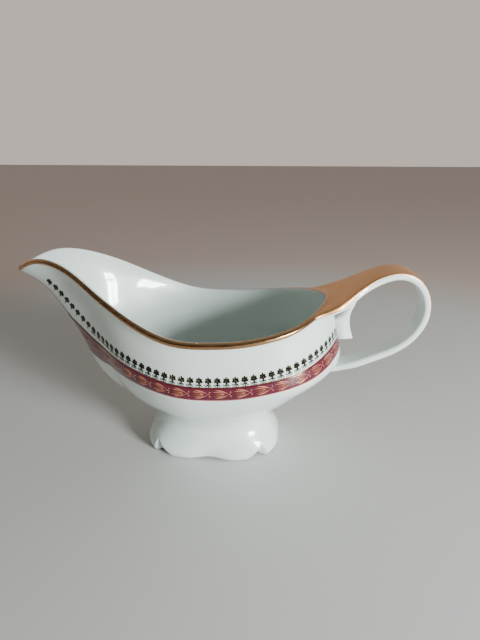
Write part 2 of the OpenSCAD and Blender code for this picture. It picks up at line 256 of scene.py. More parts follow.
@dataclass
class BowlForm:
    """Surfaces of the bowl, which everything else is laid on.

    Angles run from the handle, and places t on the wall from the neck (0) to the rim (1).
    """

    foot_h: float
    spout_reach: float = 116.5
    rear_reach: float = 70.1
    rim_w: float = 97.6
    rim_h: float = 85.4
    spout_h: float = 118.0
    rear_h: float = 99.3
    wall: float = 3.8
    lip_wall: float = 3.0
    rim_rise: float = 1.2
    neck_l: float = 69.0
    neck_w: float = 49.0
    rim_loop: Array = field(init=False, repr=False)
    band_loop: Array = field(init=False, repr=False)

    def __post_init__(self) -> None:
        """Scales the rim's stations and closes the two loops."""
        loop = both_sides(RIM)
        ahead = loop[:, 0] < 0
        side = np.where(np.arange(len(loop)) > len(RIM) - 1, -1, 1)
        self.rim_loop = np.stack([
            loop[:, 0] * np.where(ahead, self.spout_reach, self.rear_reach),
            loop[:, 1] * side * self.rim_w / 2,
            self.rim_h + loop[:, 2] * (np.where(ahead, self.spout_h, self.rear_h) - self.rim_h)], axis=-1)
        self.band_loop = both_sides(BAND)

    def wall_at(self, a: Array, t: Array) -> Array:
        """Points of the outer surface at angles a and places t."""
        a, t = np.broadcast_arrays(np.asarray(a, float), np.asarray(t, float))
        rim = spline(self.rim_loop, (a % 360) / RIM_STEP, closed=True)
        p = spline(PROFILE, t * (len(PROFILE) - 1))
        cos, sin = np.cos(np.radians(a)), np.sin(np.radians(a))
        back, front = np.maximum(cos, 0) ** 2, np.maximum(-cos, 0) ** 2
        out = p[..., 1] * front + p[..., 2] * (1 - back - front) + p[..., 3] * back
        neck = np.stack([self.neck_l / 2 * cos, self.neck_w / 2 * sin], axis=-1)
        flat = neck + (rim[..., :2] - neck) * out[..., None]
        high = self.foot_h + (rim[..., 2] - self.foot_h) * p[..., 0]
        return np.concatenate([flat, high[..., None]], axis=-1)

    def up(self, a: Array, t: Array) -> Array:
        """Unit directions up the wall."""
        t = np.asarray(t, float)
        near = 0.004
        return unit(self.wall_at(a, np.minimum(1, t + near)) - self.wall_at(a, np.maximum(0, t - near)))

    def normal(self, a: Array, t: Array) -> Array:
        """Unit outward normals."""
        a = np.asarray(a, float)
        near = 0.25
        return unit(np.cross(self.wall_at(a + near, t) - self.wall_at(a - near, t), self.up(a, t)))

    def thickness(self, a: Array, t: Array) -> Array:
        """Wall thickness, thinner towards the pouring lip."""
        front = np.maximum(-np.cos(np.radians(a)), 0) ** 2
        return self.wall - (self.wall - self.lip_wall) * front * t

    def outside(self, a: Array, t: Array, off: float) -> Array:
        """Points at a distance off the outer surface."""
        return self.wall_at(a, t) + self.normal(a, t) * np.asarray(off)[..., None]

    def inside(self, a: Array, t: Array) -> Array:
        """Points of the inner surface."""
        return self.wall_at(a, t) - self.normal(a, t) * self.thickness(a, t)[..., None]

    def share_of(self, a: Array, t: Array, length: float) -> Array:
        """How much of t a length in millimetres takes up on the wall."""
        near = 0.01
        t = np.clip(t, near, 1 - near)
        run = np.linalg.norm(self.wall_at(a, t + near) - self.wall_at(a, t - near), axis=-1)
        return length * 2 * near / run

    def lip_t(self, a: Array) -> Array:
        """Where the wall ends and its rounded edge starts, so that the crest comes up to the rim's height."""
        share = 0.1
        run = np.linalg.norm(self.wall_at(a, 1.0) - self.wall_at(a, 1.0 - share), axis=-1)
        return 1 - self.rim_rise * share / run

    def edge(self, a: Array, way: Array, off: float) -> Array:
        """Points of the rounded rim, from its outer side (0) over the crest (90) to the inner side (180)."""
        a, way = np.broadcast_arrays(np.asarray(a, float), np.asarray(way, float))
        t = self.lip_t(a)
        n, half = self.normal(a, t), self.thickness(a, t)[..., None] / 2
        cos, sin = np.cos(np.radians(way))[..., None], np.sin(np.radians(way))[..., None]
        rise = self.up(a, t) * (self.rim_rise + off) * sin
        return self.wall_at(a, t) - n * half + n * (half + off) * cos + rise

    def over_rim(self, a: Array, place: Array, off: float) -> Array:
        """Points on a path over the rim: millimetres down the wall below 0, degrees round the edge above."""
        a, place = np.broadcast_arrays(np.asarray(a, float), np.asarray(place, float))
        t = self.lip_t(a)
        down = self.outside(a, t - self.share_of(a, t, 1.0) * np.maximum(-place, 0), off)
        return np.where((place < 0)[..., None], down, self.edge(a, np.maximum(place, 0), off))

    def band_edges(self, a: Array) -> tuple:
        """Places of the band's upper and lower edge at angles a."""
        both = spline(self.band_loop, (np.asarray(a, float) % 360) / RIM_STEP, closed=True)
        return both[..., 0], both[..., 1]

    def moved(self, place: Array, shift: Array) -> Array:
        """Places on the wall after a move in its tangent plane.

        Args:
            place: angle and t of each place.
            shift: the move in space, in millimetres.

        Returns:
            Angle and t after the move.
        """
        a, t = place[..., 0], place[..., 1]
        near_a, near_t = 0.5, 0.005
        da = (self.wall_at(a + near_a, t) - self.wall_at(a - near_a, t)) / (2 * near_a)
        dt = (self.wall_at(a, t + near_t) - self.wall_at(a, t - near_t)) / (2 * near_t)
        aa, at, tt = (da * da).sum(-1), (da * dt).sum(-1), (dt * dt).sum(-1)
        va, vt = (shift * da).sum(-1), (shift * dt).sum(-1)
        det = aa * tt - at ** 2
        return np.stack([a + (tt * va - at * vt) / det, t + (aa * vt - at * va) / det], axis=-1)


# ---- finishes ----

def linear(code: str) -> tuple:
    """sRGB hex colour as linear red, green and blue, with full alpha."""
    parts = [int(code.lstrip("#")[k:k + 2], 16) / 255 for k in (0, 2, 4)]
    return tuple(c / 12.92 if c <= 0.04045 else ((c + 0.055) / 1.055) ** 2.4 for c in parts) + (1.0,)


def add_node(tree: bpy.types.NodeTree, kind: str, inputs: dict = None, **settings) -> bpy.types.Node:
    """Adds a node.

    Args:
        tree: the tree it goes in.
        kind: Blender's name for the node.
        inputs: values, or sockets to link, by the input's name or number.
        **settings: its own properties.

    Returns:
        The new node.
    """
    node = tree.nodes.new(kind)
    for name, value in settings.items():
        setattr(node, name, value)
    for name, value in (inputs or {}).items():
        if isinstance(value, bpy.types.NodeSocket):
            tree.links.new(value, node.inputs[name])
        else:
            node.inputs[name].default_value = value
    return node


def new_material(name: str) -> tuple:
    """A material with an empty tree.

    Args:
        name: its name.

    Returns:
        The material, its tree, and the socket with places in metres in the row frame.
    """
    material = bpy.data.materials.new(name)
    material.use_nodes = True
    tree = material.node_tree
    tree.nodes.clear()
    return material, tree, add_node(tree, "ShaderNodeTexCoord").outputs["Object"]


@dataclass(frozen=True)
class GlazedPorcelain:
    """Hard porcelain, cast and dipped in clear glaze.

    The glaze gives a sharp gloss that wavers a little, over a cool white body with faint warm clouds
    and a few iron specks.
    """

    name: str = "glazed_porcelain"
    body: str = "#DFEAE6"
    cloud: str = "#D3DFDA"
    speck: str = "#8C8A80"
    cloud_mm: float = 34.0
    peel_mm: float = 3.2
    speck_mm: float = 26.0
    speck_r_mm: float = 0.22
    speck_strength: float = 0.55
    peel_strength: float = 0.05
    peel_depth_mm: float = 0.06
    roughness: float = 0.3
    glaze_roughness: float = 0.045
    glow: float = 0.06
    glow_mm: float = 1.6

    def make(self) -> bpy.types.Material:
        """Builds the material."""
        material, tree, where = new_material(self.name)
        clouds = add_node(tree, "ShaderNodeTexNoise", {"Vector": where, "Scale": 1 / (self.cloud_mm * MM)})
        # In a colour mix the sockets that carry the two colours are numbers 6 and 7
        tint = add_node(tree, "ShaderNodeMix", {0: clouds.outputs["Fac"], 6: linear(self.body),
                                                7: linear(self.cloud)}, data_type="RGBA")
        cells = add_node(tree, "ShaderNodeTexVoronoi", {"Vector": where, "Scale": 1 / (self.speck_mm * MM)})
        radius = self.speck_r_mm / self.speck_mm
        specks = add_node(tree, "ShaderNodeMapRange", {
            "Value": cells.outputs["Distance"], "From Min": radius * 0.6, "From Max": radius * 1.6,
            "To Min": self.speck_strength, "To Max": 0.0})
        specked = add_node(tree, "ShaderNodeMix", {0: specks.outputs[0], 6: tint.outputs[2],
                                                   7: linear(self.speck)}, data_type="RGBA")
        peel = add_node(tree, "ShaderNodeTexNoise", {"Vector": where, "Scale": 1 / (self.peel_mm * MM),
                                                     "Detail": 1.0})
        bump = add_node(tree, "ShaderNodeBump", {"Height": peel.outputs["Fac"],
                                                 "Strength": self.peel_strength,
                                                 "Distance": self.peel_depth_mm * MM})
        shader = add_node(tree, "ShaderNodeBsdfPrincipled", {
            "Base Color": specked.outputs[2], "Roughness": self.roughness, "IOR": 1.5,
            "Subsurface Weight": self.glow, "Subsurface Radius": (1.0, 0.9, 0.8),
            "Subsurface Scale": self.glow_mm * MM,
            "Coat Weight": 1.0, "Coat Roughness": self.glaze_roughness, "Coat IOR": 1.52,
            "Normal": bump.outputs[0], "Coat Normal": bump.outputs[0]})
        add_node(tree, "ShaderNodeOutputMaterial", {"Surface": shader.outputs[0]})
        return material


@dataclass(frozen=True)
class BiscuitPorcelain:
    """Porcelain fired bare where the boat stood in the kiln.

    The standing edge is wiped clean of glaze, so it is matt, fine grained and a little soiled.
    """

    name: str = "biscuit_porcelain"
    body: str = "#D8D4C9"
    soil: str = "#B9B2A2"
    soil_mm: float = 5.0
    grit_mm: float = 0.35
    grit_strength: float = 0.4
    grit_depth_mm: float = 0.08
    roughness: float = 0.82

    def make(self) -> bpy.types.Material:
        """Builds the material."""
        material, tree, where = new_material(self.name)
        soil = add_node(tree, "ShaderNodeTexNoise", {"Vector": where, "Scale": 1 / (self.soil_mm * MM),
                                                     "Detail": 4.0})
        tint = add_node(tree, "ShaderNodeMix", {0: soil.outputs["Fac"], 6: linear(self.body),
                                                7: linear(self.soil)}, data_type="RGBA")
        grit = add_node(tree, "ShaderNodeTexNoise", {"Vector": where, "Scale": 1 / (self.grit_mm * MM),
                                                     "Detail": 3.0})
        bump = add_node(tree, "ShaderNodeBump", {"Height": grit.outputs["Fac"],
                                                 "Strength": self.grit_strength,
                                                 "Distance": self.grit_depth_mm * MM})
        shader = add_node(tree, "ShaderNodeBsdfPrincipled", {
            "Base Color": tint.outputs[2], "Roughness": self.roughness, "IOR": 1.5,
            "Normal": bump.outputs[0]})
        add_node(tree, "ShaderNodeOutputMaterial", {"Surface": shader.outputs[0]})
        return material


@dataclass(frozen=True)
class FiredGold:
    """Liquid gold, brushed on the glaze, fired and lightly burnished.

    It is a film with a copper cast. Its gloss is soft, with faint brush streaks and thinner, duller patches.
    """

    name: str
    bright: str
    dull: str
    roughness_low: float
    roughness_high: float
    patch_mm: float = 9.0
    streak_mm: float = 1.1
    streak_squeeze: tuple = (0.12, 1.0, 0.5)
    streak_strength: float = 0.35
    streak_depth_mm: float = 0.012

    def make(self) -> bpy.types.Material:
        """Builds the material."""
        material, tree, where = new_material(self.name)
        patches = add_node(tree, "ShaderNodeTexNoise", {"Vector": where, "Scale": 1 / (self.patch_mm * MM),
                                                        "Detail": 3.0, "Roughness": 0.6})
        tint = add_node(tree, "ShaderNodeMix", {0: patches.outputs["Fac"], 6: linear(self.bright),
                                                7: linear(self.dull)}, data_type="RGBA")
        stretched = add_node(tree, "ShaderNodeMapping", {"Vector": where, "Scale": self.streak_squeeze})
        brushed = add_node(tree, "ShaderNodeTexNoise", {"Vector": stretched.outputs[0],
                                                        "Scale": 1 / (self.streak_mm * MM)})
        streaks = brushed.outputs["Fac"]
        rough = add_node(tree, "ShaderNodeMapRange", {
            "Value": streaks, "From Min": 0.3, "From Max": 0.7, "To Min": self.roughness_low,
            "To Max": self.roughness_high})
        bump = add_node(tree, "ShaderNodeBump", {"Height": streaks, "Strength": self.streak_strength,
                                                 "Distance": self.streak_depth_mm * MM})
        shader = add_node(tree, "ShaderNodeBsdfPrincipled", {
            "Base Color": tint.outputs[2], "Metallic": 1.0, "Roughness": rough.outputs[0],
            "Normal": bump.outputs[0]})
        add_node(tree, "ShaderNodeOutputMaterial", {"Surface": shader.outputs[0]})
        return material


@dataclass(frozen=True)
class OverglazeEnamel:
    """Coloured enamel, printed on the glaze and fired until it runs smooth.

    It is a deep glossy film whose colour clouds a little where the print lies thick or thin.
    """

    name: str = "burgundy_enamel"
    thick: str = "#4C0A21"
    thin: str = "#60142B"
    cloud_mm: float = 4.0
    ripple_mm: float = 1.4
    ripple_strength: float = 0.12
    ripple_depth_mm: float = 0.03
    roughness: float = 0.22
    gloss_roughness: float = 0.08
    gloss: float = 0.4

    def make(self) -> bpy.types.Material:
        """Builds the material."""
        material, tree, where = new_material(self.name)
        clouds = add_node(tree, "ShaderNodeTexNoise", {"Vector": where, "Scale": 1 / (self.cloud_mm * MM),
                                                       "Detail": 4.0})
        tint = add_node(tree, "ShaderNodeMix", {0: clouds.outputs["Fac"], 6: linear(self.thick),
                                                7: linear(self.thin)}, data_type="RGBA")
        ripple = add_node(tree, "ShaderNodeTexNoise", {"Vector": where, "Scale": 1 / (self.ripple_mm * MM)})
        bump = add_node(tree, "ShaderNodeBump", {"Height": ripple.outputs["Fac"],
                                                 "Strength": self.ripple_strength,
                                                 "Distance": self.ripple_depth_mm * MM})
        shader = add_node(tree, "ShaderNodeBsdfPrincipled", {
            "Base Color": tint.outputs[2], "Roughness": self.roughness, "IOR": 1.5, "Coat Weight": self.gloss,
            "Coat Roughness": self.gloss_roughness, "Normal": bump.outputs[0]})
        add_node(tree, "ShaderNodeOutputMaterial", {"Surface": shader.outputs[0]})
        return material


@dataclass(frozen=True)
class PrintedLustre:
    """A screen-printed lustre of gold in an enamel flux.

    It shines like dull metal at a slant and shows its pigment from the front.
    """

    name: str
    pigment: str
    worn: str
    metallic: float
    roughness: float
    cloud_mm: float = 1.8
    grit_mm: float = 0.5
    grit_strength: float = 0.2
    grit_depth_mm: float = 0.02

    def make(self) -> bpy.types.Material:
        """Builds the material."""
        material, tree, where = new_material(self.name)
        clouds = add_node(tree, "ShaderNodeTexNoise", {"Vector": where, "Scale": 1 / (self.cloud_mm * MM),
                                                       "Detail": 3.0})
        tint = add_node(tree, "ShaderNodeMix", {0: clouds.outputs["Fac"], 6: linear(self.pigment),
                                                7: linear(self.worn)}, data_type="RGBA")
        grit = add_node(tree, "ShaderNodeTexNoise", {"Vector": where, "Scale": 1 / (self.grit_mm * MM)})
        bump = add_node(tree, "ShaderNodeBump", {"Height": grit.outputs["Fac"],
                                                 "Strength": self.grit_strength,
                                                 "Distance": self.grit_depth_mm * MM})
        shader = add_node(tree, "ShaderNodeBsdfPrincipled", {
            "Base Color": tint.outputs[2], "Metallic": self.metallic, "Roughness": self.roughness,
            "Normal": bump.outputs[0]})
        add_node(tree, "ShaderNodeOutputMaterial", {"Surface": shader.outputs[0]})
        return material


@dataclass(frozen=True)
class Finishes:
    """All the finishes of the boat, built once."""

    porcelain: bpy.types.Material
    biscuit: bpy.types.Material
    rim_gold: bpy.types.Material
    strap_gold: bpy.types.Material
    print_gold: bpy.types.Material
    enamel: bpy.types.Material
    salmon: bpy.types.Material
    rib: bpy.types.Material
    coral: bpy.types.Material

    @classmethod
    def build(cls) -> "Finishes":
        """Makes every material."""
        return cls(
            porcelain=GlazedPorcelain().make(),
            biscuit=BiscuitPorcelain().make(),
            rim_gold=FiredGold("rim_gold", "#CFA077", "#A98059", 0.18, 0.32).make(),
            strap_gold=FiredGold("strap_gold", "#E2AD7C", "#D39D6C", 0.4, 0.52).make(),
            # The printed gold gets a near-black olive base colour. The print is real gold, but its darkness
            # is a painted dark reflection of a dim room.
            print_gold=FiredGold("print_gold", "#3C3D2C", "#2A2C20", 0.16, 0.24, patch_mm=3.0).make(),
            enamel=OverglazeEnamel().make(),
            salmon=PrintedLustre("salmon_lustre", "#D18A72", "#B96E5A", 0.35, 0.34).make(),
            rib=PrintedLustre("rib_lustre", "#A4694A", "#8C563C", 0.45, 0.32).make(),
            coral=PrintedLustre("coral_line", "#C8524E", "#B23F44", 0.1, 0.35).make())


def settle(piece: bpy.types.Object, slot: Slot, *nodes: str) -> None:
    """Makes a piece ride with the boat and stand for its CAD nodes.

    Args:
        piece: the piece.
        slot: the record's material slot; not used.
        *nodes: the CAD nodes that it stands for.
    """
    if nodes:
        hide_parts(*nodes)
    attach(piece, BODY)
    log.info("%s: %d faces", piece.name, len(piece.data.polygons))


# ---- bowl and foot ----

@dataclass
class Bowl:
    """The cast body with its spout and rounded rim."""

    form: BowlForm
    centre_x: float
    columns: int = 480
    wall_rows: int = 120
    edge_rows: int = 14
    inner_rows: int = 96
    floor_rows: int = 18
    inner_start: float = 0.05
    floor_end: float = 0.97
    under_shares: tuple = (0.2, 0.5, 0.8)

    def build(self, finishes: Finishes) -> None:
        """Builds the bowl as one closed skin: underside, outer wall, rim, inner wall and floor."""
        form = self.form
        a = np.arange(self.columns) * 360 / self.columns
        neck = form.wall_at(a, 0.0)
        centre = np.array([0, 0, form.foot_h])
        under = [centre + (neck - centre) * s for s in self.under_shares]
        lip = form.lip_t(a)
        outer = [form.wall_at(a, t * lip) for t in np.linspace(0, 1, self.wall_rows)]
        edge = [form.edge(a, w, 0.0) for w in np.linspace(0, 180, self.edge_rows)[1:-1]]
        inner = [form.inside(a, t * lip) for t in np.linspace(1, self.inner_start, self.inner_rows)]
        low, above = inner[-1], inner[-2]
        middle = np.array([0, 0, form.foot_h + form.wall])
        way = np.linalg.norm(low - middle, axis=-1, keepdims=True)
        inward = (middle - low) * np.array([1, 1, 0])
        floor = hermite(low, unit(low - above) * way, np.broadcast_to(middle, low.shape), inward,
                        np.linspace(0, self.floor_end, self.floor_rows)[1:])
        points, faces = capped(np.concatenate([np.array(under + outer + edge + inner), floor]))
        piece = add_piece("bowl_body", points, faces, self.centre_x, [finishes.porcelain])
        settle(piece, Slot.PORCELAIN, "bowl")


# Foot profile from the bowl down: height, and spread from the neck to the toe
FOOT = [(1, 0), (0.86, 0.05), (0.66, 0.26), (0.48, 0.62), (0.33, 0.93), (0.2, 1.06), (0.09, 1.02), (0, 0.86)]


@dataclass
class Foot:
    """The hollow scalloped foot, luted under the bowl with a soft fillet."""

    form: BowlForm
    centre_x: float
    toe_l: float = 83.0
    toe_w: float = 56.8
    wall: float = 4.5
    notch_depth: float = 4.4
    notch_lift: float = 2.0
    notch_angle: float = 35.0
    notch_long: float = 13.0
    notch_short: float = 5.0
    notch_top: float = 0.64
    notch_full: float = 0.98
    panel_angle: float = 60.0
    panel_fade: float = 30.0
    panel_top: float = 0.55
    panel_dip: float = 1.2
    panel_lift: float = 1.7
    neck_power: float = 2.0
    toe_power: float = 3.0
    fillet_l: float = 13.0
    fillet_near_t: float = 0.06
    fillet_u: float = 0.36
    fillet_rows: int = 16
    fullness: float = 1.1
    sunk: float = 0.02
    side_end_u: float = 0.965
    edge_round: float = 1.2
    outer_turns: tuple = (15, 30, 45, 60, 75, 90)
    inner_turns: tuple = (25, 50, 75, 90)
    flat_insets: tuple = (2.0, 2.6)
    glazed_turns: int = 4
    bare_rows: int = 7
    hollow_low_u: float = 0.93
    hollow_high_u: float = 0.22
    hollow_rows: int = 30
    dome_share: tuple = (0.86, 0.84, 0)
    dome_over: float = 0.05
    dome_rows: int = 10
    columns: int = 600
    rows: int = 64

    def oval(self, a: Array, length: float, width: float, power: float) -> Array:
        """Distance from the axis to a superellipse."""
        cos, sin = np.cos(np.radians(a)), np.sin(np.radians(a))
        return (abs(cos * 2 / length) ** power + abs(sin * 2 / width) ** power) ** (-1 / power)

    def at(self, a: Array, u: float, inset: float, raised: float = 0.0) -> Array:
        """Points of the foot.

        Args:
            a: angles from the handle.
            u: place down the profile, from the neck (0) to the standing edge (1).
            inset: how far the points are set in from the outside.
            raised: how far they are lifted off the standing edge.

        Returns:
            One point for each angle.
        """
        height, spread = spline(FOOT, np.full(a.shape, u * (len(FOOT) - 1))).T
        low = 1 - height
        q = 90 - abs(90 - a % 180)
        # A notch is a facet that widens from a point at its top to the standing edge
        opened = np.clip((low - self.notch_top) / (self.notch_full - self.notch_top), 0, 1)
        span = np.where(q > self.notch_angle, self.notch_long, self.notch_short)
        away = abs(q - self.notch_angle)
        facet = opened * np.maximum(0, 1 - away / (span * np.maximum(opened, 0.02)))
        notch = np.maximum(0, 1 - away / span)
        panel = ease((q - self.panel_angle) / self.panel_fade)
        neck = self.oval(a, self.form.neck_l, self.form.neck_w, self.neck_power)
        toe = self.oval(a, self.toe_l, self.toe_w, self.toe_power)
        r = (neck + (toe - neck) * spread - inset - self.notch_depth * facet
             - self.panel_dip * panel * ease((low - self.panel_top) / 0.4))
        lift = (self.notch_lift * notch + self.panel_lift * panel) * low ** 4
        high = self.form.foot_h * height + lift + raised
        rad = np.radians(a)
        return np.stack([r * np.cos(rad), r * np.sin(rad), high], axis=-1)

    def build(self, finishes: Finishes) -> None:
        """Builds the foot as one closed skin, bare of glaze along its standing edge."""
        form = self.form
        a = np.arange(self.columns) * 360 / self.columns
        turn = np.radians(a)
        # The bowl's own angle at the foot's polar angle
        bowl_a = np.degrees(np.arctan2(np.sin(turn) / form.neck_w, np.cos(turn) / form.neck_l))
        fillet_t = form.share_of(bowl_a, np.full(bowl_a.shape, self.fillet_near_t), self.fillet_l)
        start = form.outside(bowl_a, fillet_t, -self.sunk)
        join = self.at(a, self.fillet_u, 0)
        below = self.at(a, self.fillet_u + 0.01, 0)
        way = np.linalg.norm(join - start, axis=-1, keepdims=True) * self.fullness
        fillet = hermite(start, -form.up(bowl_a, fillet_t) * way, join, unit(below - join) * way,
                         np.linspace(0, 1, self.fillet_rows))
        outer = [self.at(a, u, 0) for u in np.linspace(self.fillet_u, self.side_end_u, self.rows)[1:]]
        edge_z = self.at(a, 1.0, 0)[:, 2]
        rounding = []
        for k in np.radians(self.outer_turns):
            left = 1 - math.sin(k)
            ring = self.at(a, 1.0 + (self.side_end_u - 1.0) * left, self.edge_round * (1 - math.cos(k)))
            ring[:, 2] = edge_z + self.edge_round * left
            rounding.append(ring)
        flat = [self.at(a, 1.0, inset) for inset in (*self.flat_insets, self.wall - self.edge_round)]
        inner_round = [self.at(a, 1.0, self.wall - self.edge_round * (1 - math.sin(k)),
                               self.edge_round * (1 - math.cos(k))) for k in np.radians(self.inner_turns)]
        hollow = [self.at(a, u, self.wall)
                  for u in np.linspace(self.hollow_low_u, self.hollow_high_u, self.hollow_rows)]
        top = hollow[-1] * np.array(self.dome_share) + np.array([0, 0, form.foot_h + self.dome_over])
        reach = np.linalg.norm(top - hollow[-1], axis=-1, keepdims=True)
        level = unit((top - hollow[-1]) * np.array([1, 1, 0])) * reach
        closing = hermite(hollow[-1], unit(hollow[-1] - hollow[-2]) * reach, top, level,
                          np.linspace(0, 1, self.dome_rows)[1:])
        grid = np.array([*fillet, *outer, *rounding, *flat, *inner_round, *hollow, *closing])
        bare_from = len(fillet) + len(outer) + self.glazed_turns
        bare_to = bare_from + self.bare_rows
        faces = skin_faces(len(grid), self.columns, True)
        row = np.arange(len(faces)) // self.columns
        bare = ((row >= bare_from) & (row < bare_to)).astype(int)
        piece = add_piece("foot_ring", grid, faces, self.centre_x,
                          [finishes.porcelain, finishes.biscuit], bare)
        settle(piece, Slot.PORCELAIN, "foot")


# ---- handle ----

# Middle line of the strap: reach from the rim to the outermost point, height in loop heights, half width in
# strap widths, and how far its edges lag behind and hang below its middle where it spreads into the rim
STRAP = [(0.091, 0.855, 1.9, 9.5, 3.4), (0.182, 0.888, 1.5, 5.4, 4), (0.284, 0.924, 1.05, 2.2, 2),
         (0.398, 0.952, 0.86, 0.8, 0.6), (0.534, 0.977, 0.77, 0, 0), (0.659, 0.984, 0.71, 0, 0),
         (0.784, 0.968, 0.64, 0, 0), (0.889, 0.921, 0.58, 0, 0), (0.957, 0.852, 0.53, 0, 0),
         (0.966, 0.775, 0.51, 0, 0), (0.911, 0.697, 0.5, 0, 0), (0.805, 0.631, 0.5, 0, 0),
         (0.664, 0.581, 0.5, 0, 0), (0.505, 0.546, 0.5, 0, 0), (0.33, 0.509, 0.5, 0, 0),
         (0.182, 0.478, 0.5, 0, 0)]


@dataclass
class Handle:
    """The strap that flows out of the rim and loops down to the belly, with the gold on its outer face."""

    form: BowlForm
    centre_x: float
    loop_reach: float = 125.2
    loop_h: float = 115.4
    thick: float = 4.2
    width: float = 14.6
    corner: float = 1.6
    crown: float = 0.25
    root_angle: float = 29.0
    root_top: float = 84.0
    root_drop: float = 2.5
    root_u: float = 1.0
    end_t: float = 0.408
    end_u: float = 14.1
    flare_down: float = 9.0
    flare_up: float = 3.5
    flare_side: float = 3.5
    face_points: int = 27
    root_rows: int = 26
    loop_rows: int = 130
    end_rows: int = 18
    turns: tuple = (15, 30, 45, 60, 75)
    sunk: float = 0.03
    gold_end_u: float = 10.4
    gold_taper_u: float = 1.6
    gold_tip: float = 0.06
    gold_draw: float = 0.23
    gold_draw_u: float = 2.6
    gold_over: int = 8
    film: float = 0.06

    def __post_init__(self) -> None:
        """Scales the strap's stations and lays out its section."""
        s = np.array(STRAP)
        rear = self.form.rear_reach
        self.line = np.stack([rear + s[:, 0] * (self.loop_reach - rear), s[:, 1] * self.loop_h,
                              s[:, 2] * self.width, s[:, 3], s[:, 4]], axis=-1)
        flat = np.linspace(1, -1, self.face_points)
        half, r = self.thick / 2, self.corner
        turn = np.radians(self.turns)
        # Section: share of the flat part across, fixed part across, and height through, round the strap
        outer = [(v, 0.0, half + self.crown * (1 - v * v)) for v in flat]
        near = [(-1.0, -r * math.sin(k), half - r + r * math.cos(k)) for k in turn]
        near_side = [(-1.0, -r, half - r), (-1.0, -r, 0.0), (-1.0, -r, r - half)]
        near_low = [(-1.0, -r * math.cos(k), r - half - r * math.sin(k)) for k in turn]
        inner = [(-v, 0.0, -half - self.crown * 0.6 * (1 - v * v)) for v in flat]
        far = [(1.0, r * math.sin(k), r - half - r * math.cos(k)) for k in turn]
        far_side = [(1.0, r, r - half), (1.0, r, 0.0), (1.0, r, half - r)]
        far_high = [(1.0, r * math.cos(k), half - r + r * math.sin(k)) for k in turn]
        self.section = np.array(outer + near + near_side + near_low + inner + far + far_side + far_high)
        # The middle of the far side faces itself across the section
        self.facing = 2 * (len(self.section) - len(far_high) - 2)

    def ring(self, u: float) -> Array:
        """Points round the strap's section at u along it."""
        c = spline(self.line, np.array(u))
        step = 0.03
        d = spline(self.line, np.array(u + step)) - spline(self.line, np.array(u - step))
        along = unit(d[:2])
        y = self.section[:, 0] * (c[2] - self.corner) + self.section[:, 1]
        across = y / c[2]
        through = self.section[:, 2]
        return np.stack([c[0] - c[3] * across ** 2 - along[1] * through, y,
                         c[1] - c[4] * across ** 2 + along[0] * through], axis=-1)

    def root(self) -> Array:
        """Rows that blend the strap out of the rim: its outer face from the crest, its inner off the wall."""
        form = self.form
        c = spline(self.line, np.array(self.root_u))
        across = (self.section[:, 0] * (c[2] - self.corner) + self.section[:, 1]) / c[2]
        half = self.thick / 2
        high = (np.clip(self.section[:, 2] / half, -1, 1) + 1) / 2
        a = across * self.root_angle
        # Below the rim's corner the place is in millimetres, above it in degrees
        place = (high - 0.5) * 2 * np.where(high > 0.5, self.root_top, self.root_drop)
        start = form.over_rim(a, place, -self.sunk)
        end = self.ring(self.root_u)
        ahead = self.ring(self.root_u + 0.05) - end
        way = np.linalg.norm(end - start, axis=-1, keepdims=True)
        t = form.lip_t(a)
        n, up = form.normal(a, t), form.up(a, t)
        along = -np.sign(across)[:, None] * unit(form.wall_at(a + 0.5, t) - form.wall_at(a - 0.5, t))
        out = up * (1 - high)[:, None] + n * high[:, None]
        side = ease(abs(across))[:, None] ** 1.5
        leave = unit(out * (1 - side) + along * side) * way
        return hermite(start, leave, end, unit(ahead) * way, np.linspace(0, 1, self.root_rows))

    def end(self) -> Array:
        """Rows that flare the strap's lower end out over the belly."""
        form = self.form
        start = self.ring(self.end_u)
        ahead = start - self.ring(self.end_u - 0.05)
        y, through = start[:, 1], self.section[:, 2]
        half = self.thick / 2
        sink = np.clip(through / half, -1, 1)
        flare = np.where(sink > 0, self.flare_down, self.flare_up) * abs(sink)
        drop = -through - np.sign(sink) * flare
        wide = y * (1 + self.flare_side / (self.width / 2))
        up = form.up(0.0, self.end_t)
        shift = np.stack([up[0] * drop, wide, up[2] * drop], axis=-1)
        place = form.moved(np.broadcast_to([0.0, self.end_t], (len(y), 2)), shift)
        end = form.outside(place[:, 0], place[:, 1], -self.sunk)
        spread = np.stack([up[0] * (drop + through), wide - y, up[2] * (drop + through)], axis=-1)
        n = form.normal(place[:, 0], place[:, 1])
        spread -= n * (spread * n).sum(-1, keepdims=True)
        way = np.linalg.norm(end - start, axis=-1, keepdims=True)
        size = np.linalg.norm(spread, axis=-1, keepdims=True)
        arrive = spread / np.maximum(size, 0.5) * way * 1.1
        return hermite(start, unit(ahead) * way, end, arrive, np.linspace(0, 1, self.end_rows))

    def build(self, finishes: Finishes) -> None:
        """Builds the strap and its gold."""
        root = self.root()
        us = np.linspace(self.root_u, self.end_u, self.loop_rows)
        loop = np.array([self.ring(u) for u in us])
        grid = np.concatenate([root, loop[1:], self.end()[1:]])
        points, faces = capped(grid, self.facing)
        piece = add_piece("handle_strap", points, faces, self.centre_x, [finishes.porcelain])
        settle(piece, Slot.PORCELAIN, "handle")
        self.build_gold(finishes, grid[:len(root) + len(loop) - 1], us, len(root))

    def build_gold(self, finishes: Finishes, grid: Array, us: Array, root_rows: int) -> None:
        """Lays gold over the strap's outer face and the start of its round corners.

        Args:
            finishes: the finishes.
            grid: the strap's rings, from the rim on.
            us: places along the strap of the rings after the root.
            root_rows: number of rings in the root.
        """
        n = normals_of(grid)
